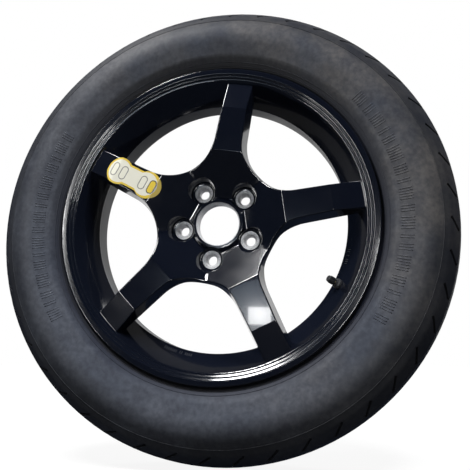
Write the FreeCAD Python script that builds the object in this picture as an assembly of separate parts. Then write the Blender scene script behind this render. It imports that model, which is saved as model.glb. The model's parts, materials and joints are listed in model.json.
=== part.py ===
import FreeCAD, Part
import math
import os

# Temporary spare wheel. Built on the wheel's own axis (x right, y up, z out to the street side,
# zero at the tyre's middle plane) and turned at the end so that the axis is Y and the street face is -Y.
# Lengths in mm, angles in degrees.

# Rim
BEAD_SEAT_R = 228.6
RIM_W = 101.6
FLANGE_H = 17.3
FLANGE_T = 11.7
FLANGE_TIP_ROUND = 6.0
FLANGE_FOOT_ROUND = 5.9
LIP_ROUND = 2.0
LIP_LAND = 8.9
STEP_W = 3.0
STEP_H = 2.2
STEP_LAND = 1.6
LEDGE_W = 3.0
LEDGE_FALL = 0.6
SLOPE_W = 27.1
SLOPE_H = 37.3
SLOPE_FOOT_ROUND = 2.0
STEP_ROUND = 1.4
CREST_ROUND = 3.4
SEAT_DROP = 1.2
SEAT_W = 17.8
WELL_WALL = 8.2
WELL_ROUND = 6.0
WELL_FRONT_OUT = 14.0
WELL_REAR_OUT = -12.0
WELL_NECK_H = 3.5
WELL_NECK_W = 9.5
WELL_NECK_ROUND = 4.0
RIM_T = 6.6
BARREL_FLARE = 2.7
BARREL_REAR_OUT = -17.0
BARREL_STEP = 3.0
BARREL_ROUND = 5.0

# Tyre
TYRE_R = 360.0
TREAD_HALF_W = 46.0
TREAD_DROP = 7.0
TREAD_EDGE_ROUND = 12.0
SHOULDER_W = 17.0
SHOULDER_DROP = 14.0
SHOULDER_ROUND = 22.0
BELLY_SHARE = 0.5
BELLY_OUT = 80.5
BELLY_ROUND = 45.0
FLANK_H = 20.0
FLANK_OUT = 69.0
FLANK_ROUND = 20.0
BEAD_TOP_H = 3.6
BEAD_TOP_OUT = 56.5
BEAD_TOP_ROUND = 3.0
BEAD_LIP_ROUND = 4.0
BEAD_HEEL_ROUND = 6.5
BEAD_TOE_ROUND = 3.0
BEAD_W = 13.0
BEAD_GAP = 0.4
TYRE_CROWN_T = 13.0
TYRE_WALL_T = 9.5
GROOVE_W = 7.0
GROOVE_DEPTH = 4.2
GROOVE_OUT = 21.0
GROOVE_FLOOR_SHARE = 0.8
SLOT_COUNT = 45
SLOT_W = 4.4
SLOT_LEN = 27.0
SLOT_DEPTH = 4.0
SLOT_SLANT = -44.0
SLOT_SHARE = 0.59

# Five-spoke centre
SPOKES = 5
SPOKE_ANGLE = 6.9
CREASE_R = 108.0
CREASE_OUT = 62.0
BROW_R = 178.0
BROW_RISE = 4.0
TOE_LAP = 1.0
TOE_STEP = 4.0
RAMP_SLOPE = 33.0
CREASE_ROUND = 5.0
SPOKE_HALF_W = 22.4
SPOKE_TAPER = 0.028
WALL_DRAFT = 11.0
PARTING_OUT = 30.0
SPOKE_BACK_OUT = 40.0
WINDOW_INNER_R = 99.5
WINDOW_END_DRAFT = 20.0
FRONT_EDGE_ROUND = 2.0
FRONT_TILT = 0.7
WALL_TILT = 0.5
CORE_HALF_W = 12.0
CORE_WALL = 11.0
CORE_END_R = 118.0
CORE_TIP_R = 190.0
CORE_CORNER_R = 6.0

# Hub
MOUNT_OUT = 2.0
PAD_R = 73.0
PAD_ROUND = 2.0
BACK_CONE_R = 101.0
BACK_CONE_ROUND = 12.0
FLOOR_OUT = 20.5
FLOOR_ROUND = 8.0
BOSS_OUT = 24.5
BOSS_LAND_R = 39.5
BOSS_FOOT_R = 45.0
BORE_R = 33.55
BORE_CHAMFER = 1.6
BOLT_PCD = 114.3
BOLT_HOLE_R = 7.75
SEAT_LAND_R = 14.6
SEAT_R = 10.8
SEAT_HALF_ANGLE = 30.0
SEAT_OUT = 17.0
POCKET_R = 18.2
POCKET_DRAFT = 12.0
POCKET_ROUND = 1.5
LAND_DROP = 0.6
RELIEF_INNER_R = 43.0
RELIEF_OUTER_R = 66.0
RELIEF_HALF_W = 11.0
RELIEF_DEPTH = 9.0

# Valve, measured along its own axis from the rim face
VALVE_SHARE = 0.285
VALVE_HOLE_R = 5.75
VALVE_WEB = 4.0
VALVE_SPOT_R = 12.0
RUBBER_GAP = 0.15
RUBBER_BASE_R = 7.6
RUBBER_BASE_H = 3.2
RUBBER_CONE_H = 2.0
RUBBER_ROUND = 0.8
RUBBER_NECK_R = 5.6
RUBBER_TOP = 7.5
BULB_R = 9.6
BULB_H = 3.5
BULB_TAIL_R = 5.6
STEM_R = 3.0
STEM_HEAD_R = 3.85
STEM_HEAD_START = 8.0
STEM_TOP = 17.0
STEM_FOOT = -15.0
STEM_BORE_R = 2.1
STEM_THREAD_R = 2.7
STEM_THREAD_DEPTH = 8.5
STEM_TAPER_H = 2.5
STEM_EDGE_ROUND = 0.5
CORE_FIT = 0.1
PLUG_TOP_DROP = 1.0
PLUG_H = 6.0
CORE_EDGE_ROUND = 0.3
BARREL_R = 1.75
BARREL_BORE_R = 1.3
BARREL_FOOT = -4.0
SEAL_H = 2.2
PIN_R = 0.55
PIN_HOLE_R = 0.85
PIN_TOP_DROP = 0.4
PIN_FOOT = -7.5
PIN_TIP_ROUND = 0.15
CUP_R = 1.7
CUP_H = 2.4
CUP_LIFT = 0.05
SPRING_WIRE_R = 0.16
SPRING_COIL_R = 0.98
SPRING_TURNS = 5
SPRING_GAP = 0.1
CAP_R = 5.1
CAP_TIP_R = 4.7
CAP_H = 11.0
CAP_ROOF = 1.6
CAP_TIP_ROUND = 1.2
CAP_EDGE_ROUND = 0.3
CAP_GAP = 0.35
CAP_RIBS = 12
CAP_RIB_W = 1.0
CAP_RIB_T = 0.45
CAP_RIB_START = 0.5
CAP_RIB_H = 7.0
CAP_SEAL_T = 1.2
CAP_SEAL_GAP = 0.25

# Sticker on the upper left spoke
STICKER_SPOKE = 2
STICKER_LOBE_R = 22.0
STICKER_LOBE_IN = 120.5
STICKER_LOBE_OUT = 173.0
STICKER_WAIST = 17.0
STICKER_T = 0.3
STICKER_GLUE = 0.08

AXIS = FreeCAD.Vector(0, 0, 1)
ORIGIN = FreeCAD.Vector(0, 0, 0)
SECTOR = 360.0 / SPOKES
FLANGE_OUT = RIM_W / 2
LIP_R = BEAD_SEAT_R + FLANGE_H
LIP_OUT = FLANGE_OUT + FLANGE_T
LIP_EDGE_R = LIP_R - LIP_LAND
STEP_EDGE_R = LIP_EDGE_R - STEP_W - STEP_LAND
SLOPE_TOP_R = STEP_EDGE_R - STEP_W - LEDGE_W
SLOPE_TOP_OUT = LIP_OUT - 2 * STEP_H - LEDGE_FALL
SLOPE_FOOT_R = SLOPE_TOP_R - SLOPE_W
SLOPE_FOOT_OUT = SLOPE_TOP_OUT - SLOPE_H
SEAT_INNER_OUT = FLANGE_OUT - SEAT_W
WELL_R = SLOPE_FOOT_R + WELL_WALL
BROW_OUT = CREASE_OUT + BROW_RISE
TOE_R = SLOPE_TOP_R + TOE_LAP
TOE_OUT = SLOPE_TOP_OUT - TOE_STEP
TREAD_EDGE_R = TYRE_R - TREAD_DROP
SHOULDER_R = TREAD_EDGE_R - SHOULDER_DROP
SHOULDER_OUT = TREAD_HALF_W + SHOULDER_W
BELLY_R = LIP_R + BELLY_SHARE * (TYRE_R - LIP_R)
FLANK_R = LIP_R + FLANK_H
FIRST_BOLT_ANGLE = SPOKE_ANGLE + SECTOR / 2
VALVE_ANGLE = FIRST_BOLT_ANGLE + 4 * SECTOR
CUTTER_TOP = 90.0
REACH = 30.0
OVERSHOOT = 1.0


def tan(angle):
    return math.tan(math.radians(angle))


def spun(shape, angle):
    """A copy of the shape turned about the wheel's axis."""
    turned = shape.copy()
    turned.rotate(ORIGIN, AXIS, angle)
    return turned


def ring_of(shape, count, first=0.0):
    """Copies of the shape spaced evenly about the wheel's axis."""
    return [spun(shape, first + 360.0 * i / count) for i in range(count)]


def outline(corners):
    """Closed loop of edges through (point, radius) corners, each corner rounded by its radius."""
    points = [FreeCAD.Vector(*p) for p, _ in corners]
    rounds = [r for _, r in corners]
    count = len(points)
    ends = []
    for i, point in enumerate(points):
        if rounds[i] == 0:
            ends.append((point, None, point))
            continue
        back = (points[i - 1] - point).normalize()
        ahead = (points[(i + 1) % count] - point).normalize()
        half = back.getAngle(ahead) / 2
        run = rounds[i] / math.tan(half)
        middle = (back + ahead).normalize()
        top = point + middle * (rounds[i] / math.sin(half) - rounds[i])
        ends.append((point + back * run, top, point + ahead * run))
    edges = []
    for i, (start, top, end) in enumerate(ends):
        if top is not None:
            edges.append(Part.Arc(start, top, end).toShape())
        edges.append(Part.LineSegment(end, ends[(i + 1) % count][0]).toShape())
    return edges


def lathe(corners):
    """Solid of revolution from (radius, out, round) corners."""
    edges = outline([((r, 0, out), rounding) for r, out, rounding in corners])
    return Part.Face(Part.Wire(edges)).revolve(ORIGIN, AXIS, 360)


def prism(corners, out, height):
    """Straight solid from (x, y, round) corners at a level."""
    edges = outline([((x, y, out), rounding) for x, y, rounding in corners])
    return Part.Face(Part.Wire(edges)).extrude(FreeCAD.Vector(0, 0, height))


def one_solid(shape):
    """The single solid of a finished cut or fuse, its split faces joined."""
    return shape.removeSplitter().Solids[0]


def flange_side(sign):
    """Tyre side of one flange, from its tip to the bead seat's inner end."""
    return [
        (LIP_R, sign * FLANGE_OUT, FLANGE_TIP_ROUND),
        (BEAD_SEAT_R, sign * FLANGE_OUT, FLANGE_FOOT_ROUND),
        (BEAD_SEAT_R - SEAT_DROP, sign * SEAT_INNER_OUT, 0),
    ]


def rim():
    """Rim section from the front flange round the well, the rear flange and the street face."""
    front = flange_side(1)
    rear = list(reversed(flange_side(-1)))
    well = [
        (WELL_R + WELL_NECK_H, WELL_FRONT_OUT + WELL_NECK_W, WELL_NECK_ROUND),
        (WELL_R, WELL_FRONT_OUT, WELL_ROUND),
        (WELL_R, WELL_REAR_OUT, WELL_ROUND),
    ]
    back = [
        (LIP_R, -LIP_OUT, LIP_ROUND),
        (LIP_R - RIM_T, -LIP_OUT, 0),
        (BEAD_SEAT_R - RIM_T, -FLANGE_OUT - RIM_T, BARREL_ROUND),
        (BEAD_SEAT_R - SEAT_DROP - RIM_T, -SEAT_INNER_OUT - BARREL_STEP, BARREL_ROUND),
        (SLOPE_FOOT_R + BARREL_FLARE, BARREL_REAR_OUT, BARREL_ROUND),
    ]
    face = [
        (SLOPE_FOOT_R, SLOPE_FOOT_OUT, SLOPE_FOOT_ROUND),
        (SLOPE_TOP_R, SLOPE_TOP_OUT, CREST_ROUND),
        (STEP_EDGE_R - STEP_W, LIP_OUT - 2 * STEP_H, STEP_ROUND),
        (STEP_EDGE_R, LIP_OUT - STEP_H, CREST_ROUND),
        (LIP_EDGE_R - STEP_W, LIP_OUT - STEP_H, STEP_ROUND),
        (LIP_EDGE_R, LIP_OUT, CREST_ROUND),
        (LIP_R, LIP_OUT, LIP_ROUND),
    ]
    return lathe(front + well + rear + back + face)


def spoke_line(lift=0.0):
    """Front line of a spoke from the hub floor to the rim, as (along, out, round) corners."""
    ramp_foot = CREASE_R - (CREASE_OUT - FLOOR_OUT) / tan(RAMP_SLOPE)
    return [
        (0.0, FLOOR_OUT + lift, 0),
        (ramp_foot, FLOOR_OUT + lift, FLOOR_ROUND),
        (CREASE_R, CREASE_OUT + lift, CREASE_ROUND),
        (BROW_R, BROW_OUT + lift, CREASE_ROUND),
        (TOE_R + REACH, TOE_OUT + lift + REACH * (TOE_OUT - BROW_OUT) / (TOE_R - BROW_R), 0),
    ]


def above_spoke(top, half_width, lift=0.0):
    """Everything above a spoke's front line up to the given level."""
    low = spoke_line(lift)
    corners = low + [(low[-1][0], top, 0), (0.0, top, 0)]
    edges = outline([((u, -half_width, out), rounding) for u, out, rounding in corners])
    return Part.Face(Part.Wire(edges)).extrude(FreeCAD.Vector(0, 2 * half_width, 0))


def window_side(out):
    """Where a window's straight side starts and ends at a level, for a window centred on +X."""
    half_w = SPOKE_HALF_W + (CREASE_OUT - out) * tan(WALL_DRAFT)
    base = half_w + SPOKE_TAPER * CREASE_R
    lean = math.radians(SECTOR / 2)
    ends = []
    for along in (base / (SPOKE_TAPER + tan(SECTOR / 2)), TOE_R + 2 * REACH):
        aside = base - SPOKE_TAPER * along
        x = along * math.cos(lean) + aside * math.sin(lean)
        y = along * math.sin(lean) - aside * math.cos(lean)
        ends.append(FreeCAD.Vector(x, y, out))
    return ends


def window_round(out):
    """Radius of the window's inner end at a level, tangent to both sides."""
    apex = window_side(out)[0].x
    inner = WINDOW_INNER_R - (out - PARTING_OUT) * tan(WINDOW_END_DRAFT)
    rise = math.sin(math.radians(SECTOR / 2) + math.atan(SPOKE_TAPER))
    return (inner - apex) * rise / (1 - rise)


def window():
    """Cutter for one window: drafted above the parting line, straight below it."""
    rings = []
    for out in (PARTING_OUT, CUTTER_TOP):
        apex, end = window_side(out)
        rings.append([apex, end, FreeCAD.Vector(end.x, -end.y, out)])
    low, high = rings
    faces = [Part.Face(Part.makePolygon(ring + ring[:1])) for ring in rings]
    for i in range(3):
        j = (i + 1) % 3
        faces.append(Part.Face(Part.makePolygon([low[i], low[j], high[j], high[i], low[i]])))
    cutter = Part.Solid(Part.Shell(faces))
    spine = [e for e in cutter.Edges if e.CenterOfMass.x < PAD_R]
    cutter = cutter.makeFillet(window_round(CUTTER_TOP), window_round(PARTING_OUT), spine)
    foot = [f for f in cutter.Faces if f.CenterOfMass.z < PARTING_OUT + OVERSHOOT][0]
    return cutter.fuse(foot.extrude(FreeCAD.Vector(0, 0, MOUNT_OUT - REACH - PARTING_OUT)))


def front_edges(shape):
    """Edges where a window's wall meets the front of a spoke that lies along +X."""
    chosen = []
    for edge in shape.Edges:
        middle = edge.valueAt((edge.FirstParameter + edge.LastParameter) / 2)
        radius = math.hypot(middle.x, middle.y)
        angle = math.degrees(math.atan2(abs(middle.y), middle.x))
        on_front = FLOOR_OUT + FRONT_EDGE_ROUND < middle.z and radius < TOE_R - OVERSHOOT
        if not on_front or math.isclose(angle, SECTOR / 2, abs_tol=0.1):
            continue
        tilts = []
        for face in shape.ancestorsOfType(edge, Part.Face):
            u, v = face.Surface.parameter(middle)
            tilts.append(face.normalAt(u, v).z)
        if max(tilts) > FRONT_TILT and abs(min(tilts)) < WALL_TILT:
            chosen.append(edge)
    return chosen


def spoke():
    """One fifth of the cast centre, its spoke along +X, before the bores."""
    disc = lathe([
        (0, MOUNT_OUT, 0),
        (PAD_R, MOUNT_OUT, PAD_ROUND),
        (BACK_CONE_R, SPOKE_BACK_OUT, BACK_CONE_ROUND),
        (TOE_R, SPOKE_BACK_OUT, 0),
        (TOE_R, CUTTER_TOP, 0),
        (0, CUTTER_TOP, 0),
    ])
    reach = TOE_R + REACH
    half = reach * tan(SECTOR / 2)
    wedge = prism([(0, 0, 0), (reach, -half, 0), (reach, half, 0)], -REACH, 2 * CUTTER_TOP)
    windows = [spun(window(), side * SECTOR / 2) for side in (1, -1)]
    fifth = disc.common(wedge).cut(above_spoke(CUTTER_TOP + OVERSHOOT, half))
    fifth = one_solid(fifth.cut(windows))
    fifth = fifth.makeFillet(FRONT_EDGE_ROUND, front_edges(fifth))
    core_top = CREASE_OUT - CORE_WALL
    core = back_pocket(CORE_END_R, CORE_TIP_R, CORE_HALF_W, SPOKE_BACK_OUT, core_top)
    relief = back_pocket(RELIEF_INNER_R, RELIEF_OUTER_R, RELIEF_HALF_W, MOUNT_OUT, MOUNT_OUT + RELIEF_DEPTH)
    return fifth.cut([core, relief])


def back_pocket(inner, outer, half_w, out, top):
    """Cutter for a round-cornered pocket in the back, along +X."""
    return prism([
        (inner, -half_w, CORE_CORNER_R),
        (outer, -half_w, CORE_CORNER_R),
        (outer, half_w, CORE_CORNER_R),
        (inner, half_w, CORE_CORNER_R),
    ], out - OVERSHOOT, top - out + OVERSHOOT)


def centre():
    """The cast five-spoke centre before its bores."""
    fifths = ring_of(spoke(), SPOKES, SPOKE_ANGLE)
    boss = lathe([
        (0, FLOOR_OUT - OVERSHOOT, 0),
        (BOSS_FOOT_R, FLOOR_OUT - OVERSHOOT, 0),
        (BOSS_LAND_R, BOSS_OUT, STEP_ROUND),
        (0, BOSS_OUT, 0),
    ])
    return fifths[0].multiFuse(fifths[1:] + [boss]).removeSplitter()


def bore():
    """Cutter for the hub bore, chamfered at both ends."""
    mouth = BORE_R + BORE_CHAMFER + OVERSHOOT
    return lathe([
        (0, MOUNT_OUT - OVERSHOOT, 0),
        (mouth, MOUNT_OUT - OVERSHOOT, 0),
        (BORE_R, MOUNT_OUT + BORE_CHAMFER, 0),
        (BORE_R, BOSS_OUT - BORE_CHAMFER, 0),
        (mouth, BOSS_OUT + OVERSHOOT, 0),
        (0, BOSS_OUT + OVERSHOOT, 0),
    ])


def bolt_hole():
    """Socket pocket, conical seat and clearance hole of one wheel bolt."""
    rise = CUTTER_TOP - SEAT_OUT
    seat_depth = (SEAT_R - BOLT_HOLE_R) / tan(SEAT_HALF_ANGLE)
    cutter = lathe([
        (0, MOUNT_OUT - OVERSHOOT, 0),
        (BOLT_HOLE_R, MOUNT_OUT - OVERSHOOT, 0),
        (BOLT_HOLE_R, SEAT_OUT - seat_depth, 0),
        (SEAT_R, SEAT_OUT, 0),
        (SEAT_LAND_R, SEAT_OUT, 0),
        (POCKET_R, SEAT_OUT + LAND_DROP, POCKET_ROUND),
        (POCKET_R + rise * tan(POCKET_DRAFT), SEAT_OUT + rise, 0),
        (0, SEAT_OUT + rise, 0),
    ])
    cutter.translate(FreeCAD.Vector(BOLT_PCD / 2, 0, 0))
    return cutter


def on_rim(shape):
    """Move a shape from the valve's own axis to its place on the rim's slope."""
    lean = math.degrees(math.atan2(SLOPE_H, SLOPE_W))
    placed = shape.copy()
    placed.rotate(ORIGIN, FreeCAD.Vector(0, 1, 0), -lean)
    radius = SLOPE_FOOT_R + VALVE_SHARE * SLOPE_W
    out = SLOPE_FOOT_OUT + VALVE_SHARE * SLOPE_H
    placed.translate(FreeCAD.Vector(radius, 0, out))
    return spun(placed, VALVE_ANGLE)


def wheel():
    """Rim and centre in one casting, with the bore, the bolt holes and the valve hole."""
    body = rim().fuse(centre())
    holes = ring_of(bolt_hole(), SPOKES, FIRST_BOLT_ANGLE)
    valve_hole = Part.makeCylinder(VALVE_HOLE_R, 2 * REACH, FreeCAD.Vector(0, 0, -REACH))
    spot = Part.makeCylinder(VALVE_SPOT_R, REACH, FreeCAD.Vector(0, 0, -VALVE_WEB - REACH))
    return one_solid(body.cut([bore()] + holes + [on_rim(valve_hole.fuse(spot))]))


def tyre_side(sign):
    """Outer corners of one half, from the tread's edge to the bead."""
    heel = BEAD_SEAT_R + BEAD_GAP
    return [
        (TREAD_EDGE_R, sign * TREAD_HALF_W, TREAD_EDGE_ROUND),
        (SHOULDER_R, sign * SHOULDER_OUT, SHOULDER_ROUND),
        (BELLY_R, sign * BELLY_OUT, BELLY_ROUND),
        (FLANK_R, sign * FLANK_OUT, FLANK_ROUND),
        (LIP_R + BEAD_TOP_H, sign * BEAD_TOP_OUT, BEAD_TOP_ROUND),
        (LIP_R + BEAD_GAP, sign * (FLANGE_OUT - BEAD_GAP), BEAD_LIP_ROUND),
        (heel, sign * (FLANGE_OUT - BEAD_GAP), BEAD_HEEL_ROUND),
        (heel, sign * (FLANGE_OUT - BEAD_GAP - BEAD_W), BEAD_TOE_ROUND),
    ]


def tyre_lining(sign):
    """Inner corners of one half, from the bead to the crown."""
    return [
        (LIP_R + BEAD_TOP_H, sign * (FLANGE_OUT - BEAD_W), 0),
        (FLANK_R + TYRE_WALL_T, sign * (FLANK_OUT - TYRE_WALL_T), 0),
        (BELLY_R, sign * (BELLY_OUT - TYRE_WALL_T), 0),
        (SHOULDER_R - TYRE_WALL_T, sign * (SHOULDER_OUT - TYRE_WALL_T), 0),
        (TYRE_R - TYRE_CROWN_T, sign * TREAD_HALF_W / 2, 0),
    ]


def crown_r(out):
    """Radius of the gently rounded tread at a distance from the middle."""
    return TYRE_R - (TYRE_R - TREAD_EDGE_R) * (out / TREAD_HALF_W) ** 2


def tread():
    """Tread corners from rear to front, with a groove either side of the middle one."""
    floor = GROOVE_FLOOR_SHARE
    corners = []
    for middle in (-GROOVE_OUT, 0.0, GROOVE_OUT):
        for side, deep in ((-1, 0), (-floor, GROOVE_DEPTH), (floor, GROOVE_DEPTH), (1, 0)):
            out = middle + side * GROOVE_W / 2
            corners.append((crown_r(out) - deep, out, 0))
    return corners


def shoulder_slots(sign):
    """Slanted cuts round one shoulder of the tread."""
    lean = math.degrees(math.atan2(SHOULDER_DROP, SHOULDER_W))
    slot = Part.makeBox(SLOT_W, 2 * SLOT_DEPTH, SLOT_LEN)
    slot.translate(FreeCAD.Vector(-SLOT_W / 2, -SLOT_DEPTH, -SLOT_LEN / 2))
    slot.rotate(ORIGIN, FreeCAD.Vector(0, 1, 0), SLOT_SLANT)
    slot.rotate(ORIGIN, FreeCAD.Vector(1, 0, 0), sign * lean)
    radius = TREAD_EDGE_R - SLOT_SHARE * SHOULDER_DROP
    out = TREAD_HALF_W + SLOT_SHARE * SHOULDER_W
    slot.translate(FreeCAD.Vector(0, radius, sign * out))
    quarter_pitch = 90.0 / SLOT_COUNT
    return ring_of(slot, SLOT_COUNT, sign * quarter_pitch)


def tyre():
    rear = list(reversed(tyre_side(-1) + tyre_lining(-1)))
    shell = lathe(rear + tread() + tyre_side(1) + tyre_lining(1))
    slots = Part.makeCompound(shoulder_slots(1) + shoulder_slots(-1))
    return one_solid(shell.cut(slots))


def valve_rubber():
    """Snap-in rubber body: base outside the rim, neck in its hole, bulb inside."""
    hole = VALVE_HOLE_R - RUBBER_GAP
    skin = lathe([
        (STEM_R, RUBBER_TOP, 0),
        (STEM_R, STEM_FOOT, 0),
        (BULB_TAIL_R, STEM_FOOT, 0),
        (BULB_R, -VALVE_WEB - RUBBER_GAP - BULB_H, RUBBER_ROUND),
        (BULB_R, -VALVE_WEB - RUBBER_GAP, 0),
        (hole, -VALVE_WEB - RUBBER_GAP, 0),
        (hole, RUBBER_GAP, 0),
        (RUBBER_BASE_R, RUBBER_GAP, 0),
        (RUBBER_BASE_R, RUBBER_BASE_H, RUBBER_ROUND),
        (RUBBER_NECK_R, RUBBER_BASE_H + RUBBER_CONE_H, RUBBER_ROUND),
        (RUBBER_NECK_R, RUBBER_TOP, RUBBER_ROUND),
    ])
    return on_rim(skin)


def valve_stem():
    """Brass tube in the rubber, with the core's thread bore and tapered seat."""
    thread_foot = STEM_TOP - STEM_THREAD_DEPTH
    return on_rim(lathe([
        (STEM_BORE_R, STEM_FOOT, 0),
        (STEM_R, STEM_FOOT, 0),
        (STEM_R, STEM_HEAD_START, 0),
        (STEM_HEAD_R, STEM_HEAD_START, 0),
        (STEM_HEAD_R, STEM_TOP, STEM_EDGE_ROUND),
        (STEM_THREAD_R, STEM_TOP, 0),
        (STEM_THREAD_R, thread_foot, 0),
        (STEM_BORE_R, thread_foot - STEM_TAPER_H, 0),
    ]))


def core_body():
    """Screw plug of the valve core with the barrel below it."""
    plug_top = STEM_TOP - PLUG_TOP_DROP
    plug_r = STEM_THREAD_R - CORE_FIT
    return on_rim(lathe([
        (PIN_HOLE_R, plug_top, 0),
        (PIN_HOLE_R, plug_top - PLUG_H, 0),
        (BARREL_BORE_R, plug_top - PLUG_H, 0),
        (BARREL_BORE_R, BARREL_FOOT, 0),
        (BARREL_R, BARREL_FOOT, 0),
        (BARREL_R, plug_top - PLUG_H, 0),
        (plug_r, plug_top - PLUG_H, 0),
        (plug_r, plug_top, CORE_EDGE_ROUND),
    ]))


def core_seal():
    """Tapered ring on the barrel, against the stem's seat."""
    top = STEM_TOP - STEM_THREAD_DEPTH
    outer_top = STEM_THREAD_R - CORE_FIT
    outer_foot = outer_top - SEAL_H * (STEM_THREAD_R - STEM_BORE_R) / STEM_TAPER_H
    inner = BARREL_R + CORE_FIT / 2
    return on_rim(lathe([
        (inner, top, 0),
        (outer_top, top, 0),
        (outer_foot, top - SEAL_H, 0),
        (inner, top - SEAL_H, 0),
    ]))


def core_pin():
    """Pin pressed to let air in or out."""
    return on_rim(lathe([
        (0, STEM_TOP - PIN_TOP_DROP, 0),
        (PIN_R, STEM_TOP - PIN_TOP_DROP, PIN_TIP_ROUND),
        (PIN_R, PIN_FOOT, 0),
        (0, PIN_FOOT, 0),
    ]))


def core_cup():
    """Cup on the pin that shuts the barrel's foot."""
    top = BARREL_FOOT - CUP_LIFT
    return on_rim(lathe([
        (PIN_R, top, 0),
        (CUP_R, top, 0),
        (CUP_R, top - CUP_H, CORE_EDGE_ROUND),
        (PIN_R, top - CUP_H, 0),
    ]))


def coil_path(pitch):
    """Line of the spring's wire, as a chain of quarter turns."""
    quarter = Part.makeHelix(pitch, pitch / 4, SPRING_COIL_R)
    chain = []
    for k in range(4 * SPRING_TURNS):
        turned = spun(quarter, 90.0 * k)
        turned.translate(AXIS * (k * pitch / 4))
        chain += turned.Edges
    return Part.Wire(chain)


def core_spring():
    """Return spring around the pin, between the cup and the plug."""
    foot = BARREL_FOOT + CUP_LIFT + SPRING_WIRE_R
    top = STEM_TOP - PLUG_TOP_DROP - PLUG_H - SPRING_GAP - SPRING_WIRE_R
    start = FreeCAD.Vector(SPRING_COIL_R, 0, 0)
    wire = Part.Wire(Part.makeCircle(SPRING_WIRE_R, start, FreeCAD.Vector(0, 1, 0)))
    coil = coil_path((top - foot) / SPRING_TURNS).makePipeShell([wire], True, True)
    coil.translate(FreeCAD.Vector(0, 0, foot))
    return on_rim(coil)


def valve_cap():
    """Ribbed cap over the stem's head."""
    top = STEM_TOP + CAP_SEAL_GAP + CAP_SEAL_T + CAP_ROOF
    inner = STEM_HEAD_R + CAP_GAP
    shell = lathe([
        (0, top, 0),
        (CAP_TIP_R, top, CAP_TIP_ROUND),
        (CAP_R, top - CAP_H, CAP_EDGE_ROUND),
        (inner, top - CAP_H, 0),
        (inner, top - CAP_ROOF, 0),
        (0, top - CAP_ROOF, 0),
    ])
    rib = Part.makeBox(CAP_R + CAP_RIB_T - inner, CAP_RIB_W, CAP_RIB_H)
    rib.translate(FreeCAD.Vector(inner, -CAP_RIB_W / 2, top - CAP_H + CAP_RIB_START))
    return on_rim(one_solid(shell.multiFuse(ring_of(rib, CAP_RIBS))))


def cap_seal():
    """Rubber disc under the cap's roof."""
    foot = STEM_TOP + CAP_SEAL_GAP
    return on_rim(lathe([
        (0, foot, 0),
        (STEM_HEAD_R, foot, 0),
        (STEM_HEAD_R, foot + CAP_SEAL_T, 0),
        (0, foot + CAP_SEAL_T, 0),
    ]))


def sticker():
    """Two round lobes and a waist, lying along the spoke's front."""
    low = above_spoke(CUTTER_TOP, 2 * STICKER_LOBE_R, STICKER_GLUE)
    high = above_spoke(CUTTER_TOP, 2 * STICKER_LOBE_R, STICKER_GLUE + STICKER_T)
    lobes = [Part.makeCylinder(STICKER_LOBE_R, CUTTER_TOP, FreeCAD.Vector(u, 0, 0))
             for u in (STICKER_LOBE_IN, STICKER_LOBE_OUT)]
    waist = Part.makeBox(STICKER_LOBE_OUT - STICKER_LOBE_IN, 2 * STICKER_WAIST, CUTTER_TOP)
    waist.translate(FreeCAD.Vector(STICKER_LOBE_IN, -STICKER_WAIST, 0))
    blank = lobes[0].multiFuse([lobes[1], waist])
    film = one_solid(blank.common(low).cut(high))
    return spun(film, SPOKE_ANGLE + STICKER_SPOKE * SECTOR)


PIECES = {
    "wheel": wheel,
    "tyre": tyre,
    "valve_rubber": valve_rubber,
    "valve_stem": valve_stem,
    "core_body": core_body,
    "core_seal": core_seal,
    "core_pin": core_pin,
    "core_cup": core_cup,
    "core_spring": core_spring,
    "valve_cap": valve_cap,
    "cap_seal": cap_seal,
    "sticker": sticker,
}

os.makedirs("parts", exist_ok=True)
for name, make in PIECES.items():
    shape = make()
    shape.rotate(ORIGIN, FreeCAD.Vector(1, 0, 0), 90)
    print(name, shape.isValid(), len(shape.Solids), round(shape.Volume / 1000, 2), "cm3")
    shape.exportStep("parts/%s.step" % name)
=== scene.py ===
"""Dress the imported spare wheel: painted casting, tyre, valve, sticker and a studio stage."""

import json
import math
from itertools import cycle

import bmesh
import bpy
from mathutils import Matrix, Vector
from mathutils.bvhtree import BVHTree

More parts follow.
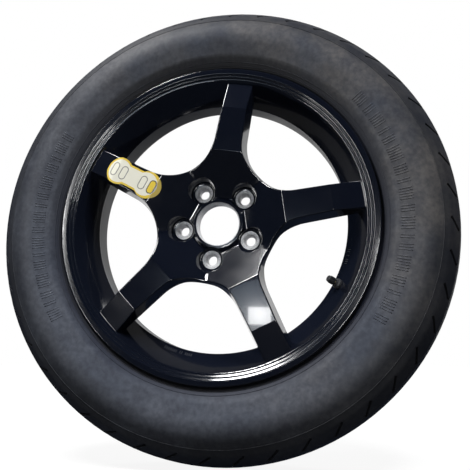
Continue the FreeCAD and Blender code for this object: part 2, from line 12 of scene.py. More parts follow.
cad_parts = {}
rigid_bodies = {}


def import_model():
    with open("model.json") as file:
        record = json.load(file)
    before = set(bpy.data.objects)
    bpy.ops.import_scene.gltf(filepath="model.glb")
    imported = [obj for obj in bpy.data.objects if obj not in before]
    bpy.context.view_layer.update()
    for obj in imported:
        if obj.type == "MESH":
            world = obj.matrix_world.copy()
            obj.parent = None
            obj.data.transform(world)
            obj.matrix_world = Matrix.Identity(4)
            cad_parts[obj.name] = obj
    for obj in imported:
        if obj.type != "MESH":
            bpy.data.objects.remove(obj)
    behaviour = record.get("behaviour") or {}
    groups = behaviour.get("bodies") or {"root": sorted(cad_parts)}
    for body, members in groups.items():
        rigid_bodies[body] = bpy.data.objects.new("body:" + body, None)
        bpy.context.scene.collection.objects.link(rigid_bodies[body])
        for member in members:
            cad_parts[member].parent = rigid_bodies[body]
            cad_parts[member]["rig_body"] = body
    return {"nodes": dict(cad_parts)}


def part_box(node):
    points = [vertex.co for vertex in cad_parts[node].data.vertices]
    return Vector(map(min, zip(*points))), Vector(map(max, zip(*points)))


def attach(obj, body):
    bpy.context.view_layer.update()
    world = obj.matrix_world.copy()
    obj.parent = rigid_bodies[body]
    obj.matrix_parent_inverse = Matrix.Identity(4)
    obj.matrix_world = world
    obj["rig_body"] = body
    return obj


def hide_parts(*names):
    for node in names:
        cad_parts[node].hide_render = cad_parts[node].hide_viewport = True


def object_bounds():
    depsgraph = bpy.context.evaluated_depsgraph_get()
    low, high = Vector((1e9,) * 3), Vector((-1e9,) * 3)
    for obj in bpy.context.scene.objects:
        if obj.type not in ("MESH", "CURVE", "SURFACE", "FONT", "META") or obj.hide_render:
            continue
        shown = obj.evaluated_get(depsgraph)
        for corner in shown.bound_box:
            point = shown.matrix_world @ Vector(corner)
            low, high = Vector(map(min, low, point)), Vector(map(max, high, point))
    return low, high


bl_info = {
    "name": "Spare Wheel Dresser",
    "version": (1, 0, 0),
    "blender": (4, 5, 0),
    "location": "View3D > Sidebar > Spare Wheel",
    "description": "Gives the packed spare wheel its surfaces, its moulded detail and a studio stage",
    "category": "Object",
}

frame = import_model()
CAD_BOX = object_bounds()

AXLE = Vector((0.0, 1.0, 0.0))
MM = 0.001
SAME_POINT = 1e-6
SHARP_ANGLE = math.radians(28.0)
TYRE_SHARP_ANGLE = math.radians(40.0)

# Places on the wheel that the surfaces follow, in metres and radians
SPOKES = 5
FIRST_SPOKE = math.radians(6.9)
SECTOR = 2.0 * math.pi / SPOKES
BOLT_CIRCLE_R = 57.15 * MM
SEAT_R = 14.7 * MM
SEAT_OUT = 17.1 * MM
BORE_BEVEL_R = 35.4 * MM
BARREL_OUT = 19.0 * MM
BARREL_R = 195.0 * MM
SLOPE_FOOT = (199.3 * MM, 20.0 * MM)
SLOPE_TOP = (226.4 * MM, 57.3 * MM)
CAST_BAR = (1.2 * MM, 6.5 * MM, 1.0 * MM)
CAST_BAR_EDGE = 0.25 * MM
CAST_BAR_SHARE = 0.22
CAST_BAR_PITCH = math.radians(0.85)
CAST_ROWS = ((math.radians(247.0), (7, 2, 4)), (math.radians(340.0), (3, 1, 2)))

# Film on the upper left spoke
STICKER_ANGLE = FIRST_SPOKE + 2 * SECTOR
STICKER_LOBES = (120.5 * MM, 173.0 * MM)
STICKER_LOBE_R = 22.0 * MM
STICKER_WAIST = 17.0 * MM
STICKER_BORDER = 3.0 * MM
MARK_STEP = 8.2 * MM
MARK_HALF = 5.5 * MM
MARK_R = 5.2 * MM
MARK_LINE = 1.5 * MM

# Moulded detail on the street sidewall, and the side over which the sidewall dust turns from cool to brown, a
# painted light tint
BEAD_SHARE = 0.66
RIB_BAND = (271.0 * MM, 289.0 * MM)
RIB_WIDTH = 1.3 * MM
RIB_CUTS = 3
RIB_PITCH = math.radians(0.8)
RIB_BLOCKS = (3, 5, 2, 4, 6, 3, 2, 5)
BLOCK_GAP = math.radians(1.1)
RIB_ARCS = ((math.radians(-34.0), math.radians(36.0)), (math.radians(148.0), math.radians(212.0)))
TYRE_RINGS = (252.0 * MM, 257.0 * MM, 328.0 * MM)
TYRE_RING_WIDTH = 1.4 * MM
TYRE_RING_STEPS = 180
LIGHT_TINT_SIDE = (0.8, 0.0, 0.6)
LIGHT_TINT_REACH = 0.34

# Stage, in metres
CENTRE = (0.0, 0.0, 0.0)
ABOVE_CENTRE = (0.0, 0.0, 0.05)
CAMERA_PLACE = Vector((0.177, -0.8588, -0.2025))
CAMERA_SHIFT = (0.030, -0.0168)
CAMERA_NEAR = 0.01
FLOOR_HALF = 8.0
FLOOR_DROP = 0.5 * MM
FLOOR_SHADE = 0.12
FLOOR_GLOW = 0.9
FLOOR_FADE = (0.5, 1.3)
TENT_SIZE = (5.0, 6.4, 4.0)
TENT_CENTRE_Y = -0.7
TENT_DROP = 0.3 * MM
TENT_GLOW = 0.06


def colour(red, green, blue):
    """Linear RGBA of a colour given in screen values from 0 to 255."""
    def linear(value):
        share = value / 255.0
        return share / 12.92 if share <= 0.04045 else ((share + 0.055) / 1.055) ** 2.4
    return (linear(red), linear(green), linear(blue), 1.0)


def scaled(tone, share):
    """A colour made darker or lighter by a share, and no lighter than white."""
    return tuple(min(1.0, share * channel) for channel in tone[:3]) + (1.0,)


def colour_property(name, description, default):
    return bpy.props.FloatVectorProperty(
        name=name, description=description, default=default,
        size=4, min=0.0, max=1.0, subtype="COLOR",
    )


def length_property(name, description, default):
    return bpy.props.FloatProperty(
        name=name, description=description, default=default,
        min=0.0, precision=4, subtype="DISTANCE", unit="LENGTH",
    )


def share_property(name, description, default):
    return bpy.props.FloatProperty(
        name=name, description=description, default=default,
        min=0.0, max=1.0, subtype="FACTOR",
    )


class WheelLook(bpy.types.PropertyGroup):
    """Finish of the casting."""

    paint: colour_property("Paint", "Gloss paint on the casting", colour(12, 15, 24))
    dust: colour_property("Dust", "Specks of dust on the paint", colour(30, 33, 40))
    barrel: colour_property("Barrel", "Thin satin paint inside the barrel", colour(62, 64, 70))
    machined: colour_property("Machined", "Bare metal of the bolt seats and the bore", colour(232, 233, 235))
    gloss_roughness: share_property("Gloss Roughness", "Roughness of the paint", 0.12)
    lacquer: share_property("Lacquer", "Share of clear lacquer over the paint", 0.6)


class TyreLook(bpy.types.PropertyGroup):
    """Finish and moulded detail of the tyre."""

    rim_shade_and_stain: colour_property("Rim Shade And Stain", "Painted shade next to the rim, and dark rubber in stains and pores", colour(24, 28, 42))
    rubber: colour_property("Rubber", "Sidewall rubber", colour(66, 72, 84))
    shoulder: colour_property("Shoulder", "Weathered rubber near the tread", colour(50, 52, 56))
    tread: colour_property("Tread", "Tread rubber", colour(30, 32, 38))
    cool_dust_and_light_tint: colour_property("Cool Dust And Light Tint", "Dust at the lower left, cool in tint as painted light", colour(84, 89, 100))
    brown_dust_and_light_tint: colour_property("Brown Dust And Light Tint", "Dust at the upper right, brown in tint as painted light", colour(98, 95, 92))
    ring_height: length_property("Ring Height", "Rise of the moulded rings", 0.5 * MM)
    rib_height: length_property("Rib Height", "Rise of the fine moulded ribs", 0.25 * MM)


class ValveLook(bpy.types.PropertyGroup):
    """Finish of the valve's pieces."""

    rubber: colour_property("Rubber", "Valve body rubber", colour(28, 29, 32))
    cap: colour_property("Cap", "Cap plastic", colour(22, 23, 26))
    brass: colour_property("Brass", "Stem and core metal", colour(186, 158, 98))
    steel: colour_property("Steel", "Spring wire", colour(150, 152, 156))


class StickerLook(bpy.types.PropertyGroup):
    """Colours of the film on the upper left spoke."""

    film: colour_property("Film", "Yellow border of the film", colour(236, 205, 62))
    worn: colour_property("Worn Film", "Rubbed places of the border", colour(198, 170, 60))
    field: colour_property("Field", "Pale field inside the border", colour(238, 236, 220))
    mark: colour_property("Mark", "Plain rounded marks in the field", colour(140, 138, 132))
    dark_line: colour_property("Dark Line", "Line round the yellow mark", colour(58, 50, 28))


class StageLook(bpy.types.PropertyGroup):
    """Floor, tent, even light and camera."""

    floor: colour_property("Floor", "Floor and background", (1.0, 1.0, 1.0, 1.0))
    tent: colour_property("Tent", "Cloth of the tent", colour(10, 12, 18))
    tent_light: colour_property("Tent Light", "Light that the cloth gives back", colour(128, 160, 225))
    fill: bpy.props.FloatProperty(
        name="Fill", description="Strength of the even light from all round", default=0.07, min=0.0,
    )
    lens: bpy.props.FloatProperty(
        name="Lens", description="Focal length of the camera", default=42.74, min=1.0, unit="CAMERA",
    )


def new_material(name):
    """An empty node material and its Principled shader."""
    material = bpy.data.materials.new(name)
    material.use_nodes = True
    return material, material.node_tree.nodes["Principled BSDF"]


def add_node(owner, kind, **settings):
    """A new node in the tree of a material or of the world."""
    node = owner.node_tree.nodes.new(kind)
    for key, value in settings.items():
        setattr(node, key, value)
    return node


def link(owner, source, target):
    owner.node_tree.links.new(source, target)


def object_point(material):
    return add_node(material, "ShaderNodeTexCoord").outputs["Object"]


def math_node(owner, operation, first, second=None):
    """A Math node whose inputs are sockets or numbers."""
    node = add_node(owner, "ShaderNodeMath", operation=operation)
    for socket, value in zip(node.inputs, (first, second)):
        if value is None:
            continue
        if isinstance(value, (int, float)):
            socket.default_value = value
        else:
            link(owner, value, socket)
    return node.outputs[0]


def slant_length(material, first, second):
    """Length that two offsets at right angles make together."""
    squares = [math_node(material, "POWER", side, 2.0) for side in (first, second)]
    return math_node(material, "SQRT", math_node(material, "ADD", *squares))


def noise(material, scale, detail=3.0, roughness=0.55):
    node = add_node(material, "ShaderNodeTexNoise")
    node.inputs["Scale"].default_value = scale
    node.inputs["Detail"].default_value = detail
    node.inputs["Roughness"].default_value = roughness
    link(material, object_point(material), node.inputs["Vector"])
    return node.outputs["Fac"]


def spread(owner, value, low, high, start=0.0, end=1.0, curve="LINEAR"):
    """Map a value between start and end onto a range."""
    node = add_node(owner, "ShaderNodeMapRange", interpolation_type=curve)
    node.inputs["From Min"].default_value = start
    node.inputs["From Max"].default_value = end
    node.inputs["To Min"].default_value = low
    node.inputs["To Max"].default_value = high
    link(owner, value, node.inputs["Value"])
    return node.outputs["Result"]


def ramp(material, value, stops):
    """A colour ramp over (position, colour) stops."""
    node = add_node(material, "ShaderNodeValToRGB")
    elements = node.color_ramp.elements
    while len(elements) < len(stops):
        elements.new(0.5)
    for element, (position, shade) in zip(elements, stops):
        element.position = position
        element.color = shade
    link(material, value, node.inputs["Fac"])
    return node.outputs["Color"]


def mix(material, share, first, second):
    """Mix two colours, each a socket or a fixed colour."""
    node = add_node(material, "ShaderNodeMix", data_type="RGBA")
    colours = [socket for socket in node.inputs if socket.type == "RGBA"]
    for socket, value in zip([node.inputs["Factor"]] + colours, (share, first, second)):
        if isinstance(value, bpy.types.NodeSocket):
            link(material, value, socket)
        else:
            socket.default_value = value
    return [socket for socket in node.outputs if socket.type == "RGBA"][0]


def bump(material, shader, height, strength, distance):
    node = add_node(material, "ShaderNodeBump")
    node.inputs["Strength"].default_value = strength
    node.inputs["Distance"].default_value = distance
    link(material, height, node.inputs["Height"])
    link(material, node.outputs["Normal"], shader.inputs["Normal"])


def radius_share(material, inner, outer):
    """How far a point lies between two radii about the axle, from 0 to 1."""
    split = add_node(material, "ShaderNodeSeparateXYZ")
    link(material, object_point(material), split.inputs["Vector"])
    radius = slant_length(material, split.outputs["X"], split.outputs["Z"])
    return spread(material, radius, 0.0, 1.0, inner, outer)


def piece_from(shape, name, materials):
    """Link a bmesh into the scene as an object at the origin."""
    mesh = bpy.data.meshes.new(name)
    shape.to_mesh(mesh)
    shape.free()
    piece = bpy.data.objects.new(name, mesh)
    bpy.context.scene.collection.objects.link(piece)
    for material in materials:
        mesh.materials.append(material)
    return piece


def smooth_copy(node, materials, sharp_angle=SHARP_ANGLE):
    """A merged, smooth-shaded copy of a CAD node that stands in for it."""
    source = frame["nodes"][node]
    shape = bmesh.new()
    shape.from_mesh(source.data)
    bmesh.ops.remove_doubles(shape, verts=shape.verts, dist=SAME_POINT)
    for face in shape.faces:
        face.smooth = True
        face.material_index = 0
    for edge in shape.edges:
        edge.smooth = len(edge.link_faces) == 2 and edge.calc_face_angle(0.0) < sharp_angle
    piece = piece_from(shape, node + "_skin", materials)
    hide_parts(node)
    weighted = piece.modifiers.new("Flat faces stay flat", "WEIGHTED_NORMAL")
    weighted.keep_sharp = True
    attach(piece, source["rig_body"])
    return piece


def around_axle(angle, radius, out=0.0):
    """A point at an angle and a radius about the axle, and a distance out to the street side."""
    return Vector((radius * math.cos(angle), -out, radius * math.sin(angle)))


def gloss_paint(look):
    """Deep gloss paint under clear lacquer, with a little orange peel and dust."""
    material, shader = new_material("gloss_black_paint")
    specks = noise(material, 260.0, detail=5.0)
    tone = ramp(material, specks, [(0.0, look.paint), (0.62, look.paint), (1.0, look.dust)])
    link(material, tone, shader.inputs["Base Color"])
    rough = spread(material, noise(material, 35.0), look.gloss_roughness * 0.7, look.gloss_roughness * 1.5)
    link(material, rough, shader.inputs["Roughness"])
    shader.inputs["Specular IOR Level"].default_value = 0.5
    shader.inputs["Coat Weight"].default_value = look.lacquer
    shader.inputs["Coat Roughness"].default_value = 0.03
    bump(material, shader, noise(material, 420.0, detail=1.0), 0.03, 0.2 * MM)
    return material


def satin_barrel(look):
    """Thin grey paint inside the barrel, clouded by the spray."""
    material, shader = new_material("satin_grey_barrel")
    cloud = noise(material, 18.0)
    tone = mix(material, cloud, scaled(look.barrel, 0.55), look.barrel)
    link(material, tone, shader.inputs["Base Color"])
    link(material, spread(material, cloud, 0.35, 0.5), shader.inputs["Roughness"])
    shader.inputs["Specular IOR Level"].default_value = 0.3
    bump(material, shader, noise(material, 600.0), 0.06, 0.2 * MM)
    return material


def machined_metal(look):
    """Bare turned aluminium with fine tool marks."""
    material, shader = new_material("machined_aluminium")
    marks = noise(material, 900.0, detail=2.0)
    bright = spread(material, marks, 0.0, 1.0, 0.4, 0.6)
    tone = mix(material, bright, scaled(look.machined, 0.6), look.machined)
    link(material, tone, shader.inputs["Base Color"])
    shader.inputs["Metallic"].default_value = 0.25
    link(material, spread(material, marks, 0.28, 0.45), shader.inputs["Roughness"])
    bump(material, shader, marks, 0.1, 0.1 * MM)
    return material


def bolt_angles():
    return [FIRST_SPOKE + (k + 0.5) * SECTOR for k in range(SPOKES)]


def wheel_surface(centre):
    """Material index of the casting at a face's centre: 0 paint, 1 barrel, 2 machined."""
    out = -centre.y
    radius = math.hypot(centre.x, centre.z)
    if out < SEAT_OUT:
        for angle in bolt_angles():
            if (centre - around_axle(angle, BOLT_CIRCLE_R, out)).length < SEAT_R:
                return 2
    if radius < BORE_BEVEL_R:
        return 2
    if out < BARREL_OUT and radius > BARREL_R:
        return 1
    return 0


def on_slope(angle):
    """Frame on the rim's front slope: X along the rim, Y up the slope, Z out of it."""
    foot = Vector(SLOPE_FOOT)
    top = Vector(SLOPE_TOP)
    spot = foot.lerp(top, CAST_BAR_SHARE)
    rise = (top - foot).normalized()
    up_slope = around_axle(angle, rise.x, rise.y)
    along = around_axle(angle + math.pi / 2, 1.0)
    off = along.cross(up_slope)
    place = Matrix((along, up_slope, off)).transposed().to_4x4()
    place.translation = around_axle(angle, spot.x, spot.y)
    return place


def cast_bars_painted_highlight():
    """Rows of plain raised bars on the rim's slope, in short groups."""
    shape = bmesh.new()
    size = Matrix.Diagonal(Vector(CAST_BAR + (1.0,)))
    for start, groups in CAST_ROWS:
        angle = start
        for count in groups:
            for _ in range(count):
                bmesh.ops.create_cube(shape, size=1.0, matrix=on_slope(angle) @ size)
                angle += CAST_BAR_PITCH
            angle += CAST_BAR_PITCH
    bmesh.ops.bevel(
        shape, geom=shape.edges[:], offset=CAST_BAR_EDGE, segments=1,
        profile=0.5, affect="EDGES", material=-1,
    )
    return shape


class WHEEL_OT_casting(bpy.types.Operator):
    """Dress the casting in gloss paint, with bare seats, a satin barrel and plain cast bars whose lighter
    satin grey is a painted highlight
    """

    bl_idname = "spare_wheel.casting"
    bl_label = "Casting"

    def execute(self, context):
        look = context.scene.wheel_look
        surfaces = [gloss_paint(look), satin_barrel(look), machined_metal(look)]
        piece = smooth_copy("wheel", surfaces)
        for face in piece.data.polygons:
            face.material_index = wheel_surface(face.center)
        # The cast bars are gloss black like the rest of the casting; the lighter satin grey they take here is
        # a painted highlight
        marks = piece_from(cast_bars_painted_highlight(), "cast_bars_painted_highlight", surfaces[1:2])
        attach(marks, "wheel")
        return {"FINISHED"}


def side_light_tint(material):
    """Share of the painted light tint at a point, from cool at the lower left of the tyre to brown at the
    upper right.
    """
    across = add_node(material, "ShaderNodeVectorMath", operation="DOT_PRODUCT")
    link(material, object_point(material), across.inputs[0])
    across.inputs[1].default_value = LIGHT_TINT_SIDE
    return spread(material, across.outputs["Value"], 0.0, 1.0, -LIGHT_TINT_REACH, LIGHT_TINT_REACH, "SMOOTHSTEP")


def tyre_rubber(look):
    """Dusty sidewall rubber, with painted shade in a band next to the rim, that darkens to the tread."""
    material, shader = new_material("tyre_rubber")
    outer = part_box("tyre")[1].z
    outward = radius_share(material, BEAD_SHARE * outer, outer)
    base = mix(material, spread(material, outward, 0.0, 1.0, 0.4, 0.7), look.rubber, look.shoulder)
    cloud = noise(material, 9.0, detail=6.0, roughness=0.6)
    # The dust patches are real; their tint turning from cool at the lower left to brown at the upper right is
    # painted light
    dust = mix(material, side_light_tint(material), look.cool_dust_and_light_tint, look.brown_dust_and_light_tint)
    dusty_and_light_tinted = mix(material, spread(material, cloud, 0.0, 0.8, 0.36, 0.64), base, dust)
    stain = noise(material, 24.0, detail=6.0, roughness=0.7)
    stained = mix(material, spread(material, stain, 0.0, 0.5, 0.48, 0.7), dusty_and_light_tinted, look.rim_shade_and_stain)
    speckle = noise(material, 140.0, detail=4.0)
    toned = mix(material, spread(material, speckle, 0.0, 0.4, 0.35, 0.65), stained, look.rim_shade_and_stain)
    # Painted shade: a dark band next to the rim, in the crease where the tyre meets the rim's lip
    toned = mix(material, spread(material, outward, 0.9, 0.0, 0.13, 0.23), toned, look.rim_shade_and_stain)
    toned = mix(material, spread(material, outward, 0.0, 0.6, 0.72, 0.75), toned, look.tread)
    link(material, toned, shader.inputs["Base Color"])
    link(material, spread(material, cloud, 0.5, 0.68), shader.inputs["Roughness"])
    shader.inputs["Specular IOR Level"].default_value = 0.25
    grain = math_node(material, "ADD", noise(material, 900.0), noise(material, 70.0))
    bump(material, shader, grain, 0.15, 0.3 * MM)
    return material


def street_out(surface, angle, radius):
    """How far out the street side of a surface lies at an angle and a radius."""
    start = around_axle(angle, radius, 1.0)
    hit = surface.ray_cast(start, AXLE)[0]
    if hit is None:
        raise RuntimeError("no sidewall at radius %.3f" % radius)
    return -hit.y


def moulded_rings(surface, rise):
    """Thin raised rings round the street sidewall."""
    shape = bmesh.new()
    for radius in TYRE_RINGS:
        corners = []
        # Foot, crest, crest and foot, each at a share of the ring's width
        for side, lift in ((-0.5, -rise), (-0.3, rise), (0.3, rise), (0.5, -rise)):
            place = radius + side * TYRE_RING_WIDTH
            corners.append(shape.verts.new(around_axle(0.0, place, street_out(surface, 0.0, place) + lift)))
        edges = [shape.edges.new(pair) for pair in zip(corners, corners[1:] + corners[:1])]
        bmesh.ops.spin(
            shape, geom=corners + edges, cent=CENTRE, axis=AXLE,
            angle=2.0 * math.pi, steps=TYRE_RING_STEPS, use_merge=True,
        )
    bmesh.ops.remove_doubles(shape, verts=shape.verts, dist=SAME_POINT)
    bmesh.ops.recalc_face_normals(shape, faces=shape.faces)
    return shape


def moulded_ribs(surface, rise):
    """Blocks of fine radial ribs round two stretches of the street sidewall."""
    shape = bmesh.new()
    inner, outer = RIB_BAND
    size = Matrix.Diagonal((outer - inner, 2.0 * rise, RIB_WIDTH, 1.0))
    centre = Matrix.Translation(((inner + outer) / 2, 0.0, 0.0))
    bmesh.ops.create_cube(shape, size=1.0, matrix=centre @ size)
    lengthwise = [edge for edge in shape.edges if edge.calc_length() > (outer - inner) / 2]
    bmesh.ops.subdivide_edges(shape, edges=lengthwise, cuts=RIB_CUTS)
    for vert in shape.verts:
        vert.co.y -= street_out(surface, 0.0, vert.co.x)
    pattern = shape.verts[:] + shape.edges[:] + shape.faces[:]
    for start, end in RIB_ARCS:
        angle = start
        blocks = cycle(RIB_BLOCKS)
        while angle < end:
            for _ in range(next(blocks)):
                copied = bmesh.ops.duplicate(shape, geom=pattern)["geom"]
                verts = [part for part in copied if isinstance(part, bmesh.types.BMVert)]
                turn = Matrix.Rotation(-angle, 3, AXLE)
                bmesh.ops.rotate(shape, verts=verts, cent=CENTRE, matrix=turn)
                angle += RIB_PITCH
            angle += BLOCK_GAP
    first = [part for part in pattern if isinstance(part, bmesh.types.BMVert)]
    bmesh.ops.delete(shape, geom=first, context="VERTS")
    return shape


class WHEEL_OT_tyre(bpy.types.Operator):
    """Dress the tyre in rubber, with its moulded rings and ribs"""

    bl_idname = "spare_wheel.tyre"
    bl_label = "Tyre"

    def execute(self, context):
        look = context.scene.tyre_look
        rubber = tyre_rubber(look)
        tyre = smooth_copy("tyre", [rubber], TYRE_SHARP_ANGLE)
        surface = BVHTree.FromPolygons(
            [vert.co for vert in tyre.data.vertices],
            [face.vertices for face in tyre.data.polygons],
        )
        mouldings = {
            "sidewall_rings": moulded_rings(surface, look.ring_height),
            "sidewall_ribs": moulded_ribs(surface, look.rib_height),
        }
        for name, shape in mouldings.items():
            piece = piece_from(shape, name, [rubber])
            piece.data.shade_smooth()
            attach(piece, "wheel")
        return {"FINISHED"}


def soft_rubber(name, tone):
    """Dull black rubber or plastic with a fine grain."""
    material, shader = new_material(name)
    grain = noise(material, 500.0)
    link(material, mix(material, grain, tone, scaled(tone, 1.8)), shader.inputs["Base Color"])
    link(material, spread(material, grain, 0.5, 0.7), shader.inputs["Roughness"])
    bump(material, shader, grain, 0.1, 0.1 * MM)
    return material


def turned_metal(name, tone):
    """Bare turned metal, dulled in fine patches."""
    material, shader = new_material(name)
    marks = noise(material, 1500.0)
    link(material, mix(material, marks, scaled(tone, 0.6), tone), shader.inputs["Base Color"])
    shader.inputs["Metallic"].default_value = 1.0
    link(material, spread(material, marks, 0.25, 0.4), shader.inputs["Roughness"])
    return material


class WHEEL_OT_valve(bpy.types.Operator):
    """Dress the valve body, its core and its cap"""

    bl_idname = "spare_wheel.valve"
    bl_label = "Valve"

    def execute(self, context):
        look = context.scene.valve_look
        rubber = soft_rubber("valve_rubber", look.rubber)
        seal = soft_rubber("seal_rubber", look.rubber)
        brass = turned_metal("valve_brass", look.brass)
        steel = turned_metal("spring_steel", look.steel)
        plastic = soft_rubber("cap_plastic", look.cap)
        finishes = {
            "valve_rubber": ("valve_rubber", rubber),
            "valve_stem": ("valve_brass", brass),
            "core_body": ("valve_brass", brass),
            "core_pin": ("valve_brass", brass),
            "core_seal": ("seal_rubber", seal),
            "core_cup": ("seal_rubber", seal),
            "cap_seal": ("seal_rubber", seal),
            "core_spring": ("spring_steel", steel),
            "valve_cap": ("cap_plastic", plastic),
        }
        for node, (slot, material) in finishes.items():
            smooth_copy(node, [material])
        return {"FINISHED"}


def along_spoke(material):
    """Distances along and across the sticker's spoke at a point of the film."""
    turned = add_node(material, "ShaderNodeMapping", vector_type="POINT")
    turned.inputs["Rotation"].default_value = (0.0, STICKER_ANGLE, 0.0)
    link(material, object_point(material), turned.inputs["Vector"])
    split = add_node(material, "ShaderNodeSeparateXYZ")
    link(material, turned.outputs["Vector"], split.inputs["Vector"])
    return split.outputs["X"], split.outputs["Z"]


def slot_distance(material, along, across, centre, half_length):
    """Distance from a straight stroke that lies across the spoke."""
    aside = math_node(material, "SUBTRACT", along, centre)
    above_foot = math_node(material, "MAXIMUM", across, -half_length)
    nearest = math_node(material, "MINIMUM", above_foot, half_length)
    beyond = math_node(material, "SUBTRACT", across, nearest)
    return slant_length(material, aside, beyond)


def within(material, distance, limit):
    return math_node(material, "LESS_THAN", distance, limit)


def outline_of(material, distance, radius, width):
    """1 on a line of the given width at a distance."""
    gap = math_node(material, "ABSOLUTE", math_node(material, "SUBTRACT", distance, radius))
    return within(material, gap, width / 2)


def pale_field(material, look, along, across, tone):
    """Lay the pale field over both lobes and the waist, inside the border."""
    inner, outer = STICKER_LOBES
    for lobe in (inner + STICKER_BORDER, outer):
        from_lobe = slot_distance(material, along, across, lobe, 0.0)
        tone = mix(material, within(material, from_lobe, STICKER_LOBE_R - STICKER_BORDER), tone, look.field)
    from_middle = math_node(material, "ABSOLUTE", math_node(material, "SUBTRACT", along, (inner + outer) / 2))
    beside = within(material, math_node(material, "ABSOLUTE", across), STICKER_WAIST - STICKER_BORDER)
    waist = math_node(material, "MULTIPLY", within(material, from_middle, (outer - inner) / 2), beside)
    return mix(material, waist, tone, look.field)


def rounded_marks(material, look, along, across, tone):
    """Draw three outlined marks and a yellow one with a dark line round it."""
    inner, outer = STICKER_LOBES
    for centre in (outer + MARK_STEP, outer - MARK_STEP, inner + MARK_STEP):
        bar = slot_distance(material, along, across, centre, MARK_HALF)
        tone = mix(material, outline_of(material, bar, MARK_R, MARK_LINE), tone, look.mark)
    framed = slot_distance(material, along, across, inner - MARK_STEP, MARK_HALF)
    tone = mix(material, within(material, framed, MARK_R), tone, look.film)
    return mix(material, outline_of(material, framed, MARK_R, MARK_LINE), tone, look.dark_line)


def sticker_film(look):
    """Yellow film with a pale field inside its border and plain rounded marks in the field."""
    material, shader = new_material("sticker_film")
    along, across = along_spoke(material)
    worn = spread(material, noise(material, 160.0, detail=4.0), 0.0, 0.4)
    tone = mix(material, worn, look.film, look.worn)
    tone = pale_field(material, look, along, across, tone)
    tone = rounded_marks(material, look, along, across, tone)
    link(material, tone, shader.inputs["Base Color"])
    link(material, spread(material, noise(material, 60.0), 0.25, 0.45), shader.inputs["Roughness"])
    return material


class WHEEL_OT_sticker(bpy.types.Operator):
    """Dress the film on the upper left spoke"""

    bl_idname = "spare_wheel.sticker"
    bl_label = "Sticker"

    def execute(self, context):
        look = context.scene.sticker_look
        smooth_copy("sticker", [sticker_film(look)])
        return {"FINISHED"}


def seen_not_lit(owner):
    """1 on rays from the camera, from gloss and through glass, and 0 on those that light the object."""
    path = add_node(owner, "ShaderNodeLightPath")
    seen = math_node(owner, "MAXIMUM", path.outputs["Is Camera Ray"], path.outputs["Is Glossy Ray"])
    return math_node(owner, "MAXIMUM", seen, path.outputs["Is Transmission Ray"])


def white_studio(look):
    """Even white surroundings that light the object softly."""
    world = bpy.data.worlds.new("white_studio")
    bpy.context.scene.world = world
    world.use_nodes = True
    background = world.node_tree.nodes["Background"]
    background.inputs["Color"].default_value = look.floor
    strength = spread(world, seen_not_lit(world), look.fill, 1.0)
    link(world, strength, background.inputs["Strength"])


def pale_floor(look):
    """White floor that still takes the object's shadow."""
    material, shader = new_material("pale_floor")
    shader.inputs["Base Color"].default_value = scaled(look.floor, FLOOR_SHADE)
    shader.inputs["Roughness"].default_value = 0.9
    shader.inputs["Specular IOR Level"].default_value = 0.0
    shader.inputs["Emission Color"].default_value = look.floor
    away = add_node(material, "ShaderNodeVectorMath", operation="LENGTH")
    link(material, object_point(material), away.inputs[0])
    glow = spread(material, away.outputs["Value"], FLOOR_GLOW, 1.0, *FLOOR_FADE)
    strength = math_node(material, "MULTIPLY", seen_not_lit(material), glow)
    link(material, strength, shader.inputs["Emission Strength"])
    return material


def floor_under(look):
    """A wide pale floor just under the tyre."""
    shape = bmesh.new()
    bmesh.ops.create_grid(shape, x_segments=1, y_segments=1, size=FLOOR_HALF)
    bmesh.ops.translate(shape, verts=shape.verts, vec=(0.0, 0.0, CAD_BOX[0].z - FLOOR_DROP))
    piece_from(shape, "stage_floor", [pale_floor(look)])


def dim_cloth(look):
    """Dark cloth that gives back a little blue light."""
    material, shader = new_material("dim_cloth")
    shader.inputs["Base Color"].default_value = look.tent
    shader.inputs["Roughness"].default_value = 1.0
    shader.inputs["Emission Color"].default_value = look.tent_light
    shader.inputs["Emission Strength"].default_value = TENT_GLOW
    return material


def dim_tent(look):
    """Cloth tent open at the back, seen only in reflections, that keeps the gloss paint deep."""
    shape = bmesh.new()
    bmesh.ops.create_cube(shape, size=1.0, matrix=Matrix.Diagonal(Vector(TENT_SIZE + (1.0,))))
    ground = CAD_BOX[0].z - TENT_DROP
    bmesh.ops.translate(shape, verts=shape.verts, vec=(0.0, TENT_CENTRE_Y, ground + TENT_SIZE[2] / 2))
    back = max(shape.faces, key=lambda face: face.calc_center_median().y)
    bmesh.ops.delete(shape, geom=[back], context="FACES_ONLY")
    bmesh.ops.reverse_faces(shape, faces=shape.faces)
    tent = piece_from(shape, "stage_tent", [dim_cloth(look)])
    tent.visible_camera = False
    tent.visible_diffuse = False
    tent.visible_shadow = False


def lamp(name, place, target, width, height, watts, tint=(1.0, 1.0, 1.0)):
    """A soft rectangular lamp aimed at a point."""
    data = bpy.data.lights.new(name, "AREA")
    data.shape = "RECTANGLE"
    data.size = width
    data.size_y = height
    data.energy = watts
    data.color = tint
    light = bpy.data.objects.new(name, data)
    light.location = place
    light.rotation_euler = (Vector(target) - Vector(place)).to_track_quat("-Z", "Y").to_euler()
    bpy.context.scene.collection.objects.link(light)
    return light


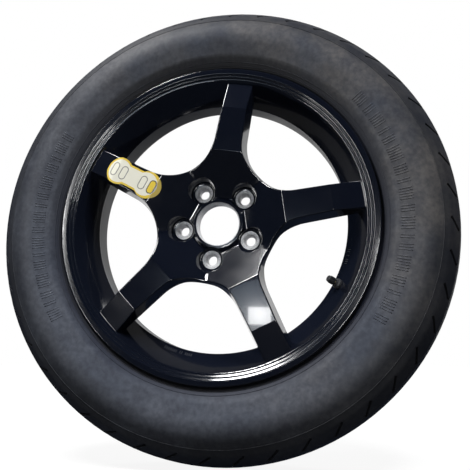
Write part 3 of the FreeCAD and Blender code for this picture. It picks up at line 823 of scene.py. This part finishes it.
def studio_lamps():
    """Two keys and a fill behind, and glints that show only in the gloss."""
    lamp("left_key", (-0.85, -0.9, 1.85), ABOVE_CENTRE, 0.5, 0.5, 46.0)
    right_key = lamp("right_key", (0.85, -0.9, 1.85), ABOVE_CENTRE, 0.5, 0.5, 46.0)
    right_key.visible_glossy = False
    back_fill = lamp("back_fill", (-0.5, 2.0, 1.2), CENTRE, 0.8, 0.8, 26.0)
    back_fill.visible_glossy = False
    glints = [
        lamp("left_strip", (-0.72, -0.85, 0.18), CENTRE, 0.1, 1.0, 7.0),
        lamp("right_strip", (0.38, -1.05, -0.08), ABOVE_CENTRE, 0.1, 0.46, 6.0),
        lamp("front_box", (-0.35, -2.2, 0.28), CENTRE, 0.3, 0.3, 0.5, (0.7, 0.83, 1.0)),
        lamp("small_box", (-0.31, -2.1, 0.21), CENTRE, 0.12, 0.09, 0.8),
    ]
    for glint in glints:
        glint.visible_diffuse = False


def camera_at_photo(look):
    """The photograph's camera, aimed at the wheel's centre."""
    data = bpy.data.cameras.new("photo_camera")
    data.lens = look.lens
    data.shift_x, data.shift_y = CAMERA_SHIFT
    data.clip_start = CAMERA_NEAR
    camera = bpy.data.objects.new("photo_camera", data)
    camera.location = CAMERA_PLACE
    camera.rotation_euler = (-CAMERA_PLACE).to_track_quat("-Z", "Y").to_euler()
    bpy.context.scene.collection.objects.link(camera)
    bpy.context.scene.camera = camera


class WHEEL_OT_stage(bpy.types.Operator):
    """Set the floor, the tent, the lamps and the camera"""

    bl_idname = "spare_wheel.stage"
    bl_label = "Stage"

    def execute(self, context):
        look = context.scene.stage_look
        context.scene.view_settings.view_transform = "Standard"
        white_studio(look)
        floor_under(look)
        dim_tent(look)
        studio_lamps()
        camera_at_photo(look)
        return {"FINISHED"}


class WHEEL_PT_panel(bpy.types.Panel):
    """The pieces in the order in which they are made"""

    bl_idname = "WHEEL_PT_panel"
    bl_label = "Spare Wheel"
    bl_space_type = "VIEW_3D"
    bl_region_type = "UI"
    bl_category = "Spare Wheel"

    def draw(self, context):
        for operator in OPERATORS:
            self.layout.operator(operator.bl_idname)


LOOKS = {
    "wheel_look": WheelLook,
    "tyre_look": TyreLook,
    "valve_look": ValveLook,
    "sticker_look": StickerLook,
    "stage_look": StageLook,
}
OPERATORS = (WHEEL_OT_casting, WHEEL_OT_tyre, WHEEL_OT_valve, WHEEL_OT_sticker, WHEEL_OT_stage)


def register():
    for look in LOOKS.values():
        bpy.utils.register_class(look)
    for name, look in LOOKS.items():
        setattr(bpy.types.Scene, name, bpy.props.PointerProperty(type=look))
    for operator in OPERATORS:
        bpy.utils.register_class(operator)
    bpy.utils.register_class(WHEEL_PT_panel)


def unregister():
    bpy.utils.unregister_class(WHEEL_PT_panel)
    for operator in reversed(OPERATORS):
        bpy.utils.unregister_class(operator)
    for name, look in LOOKS.items():
        delattr(bpy.types.Scene, name)
        bpy.utils.unregister_class(look)


def main():
    register()
    bpy.ops.spare_wheel.casting()
    bpy.ops.spare_wheel.tyre()
    bpy.ops.spare_wheel.valve()
    bpy.ops.spare_wheel.sticker()
    bpy.ops.spare_wheel.stage()


if __name__ == "__main__":
    main()
